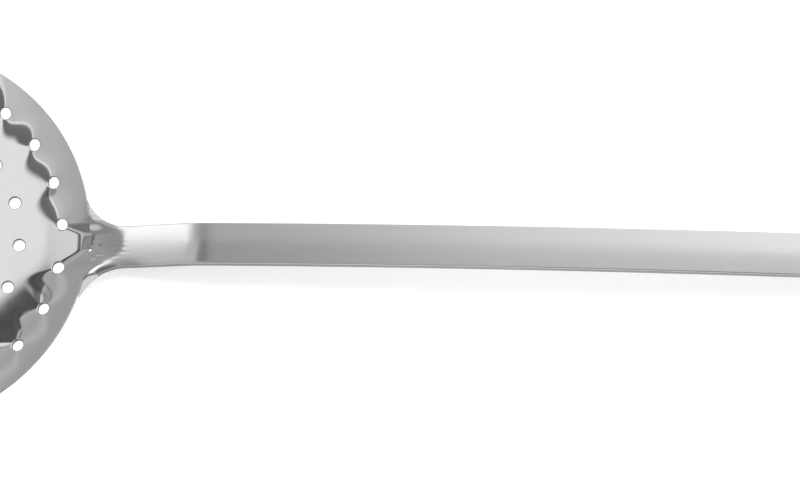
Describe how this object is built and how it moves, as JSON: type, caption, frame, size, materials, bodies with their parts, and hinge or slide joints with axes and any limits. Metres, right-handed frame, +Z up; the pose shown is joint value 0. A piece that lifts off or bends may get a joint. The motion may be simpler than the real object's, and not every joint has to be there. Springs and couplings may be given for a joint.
{
  "type": "kitchen skimmer",
  "caption": "Round shallow perforated bowl on a long cranked bar handle with a hanging hole, for lifting food out of hot liquid.",
  "frame": {"origin": "centre of the bowl's flat underside, which is its foot", "axes": "+X along the handle towards its end, +Z up out of the bowl, +Y completes a right-handed frame"},
  "size_m": [0.4302, 0.12, 0.0575],
  "materials": {
    "bowl": "mirror polished stainless sheet",
    "handle": "satin, brushed lengthwise, with a polished root",
    "weld": "bare weld metal, matt"
  },
  "bodies": {
    "root": {"bowl": "bowl", "handle": "handle", "weld_corner_back": "weld", "weld_corner_front": "weld", "weld_under_rim": "weld"}
  },
  "joints": []
}
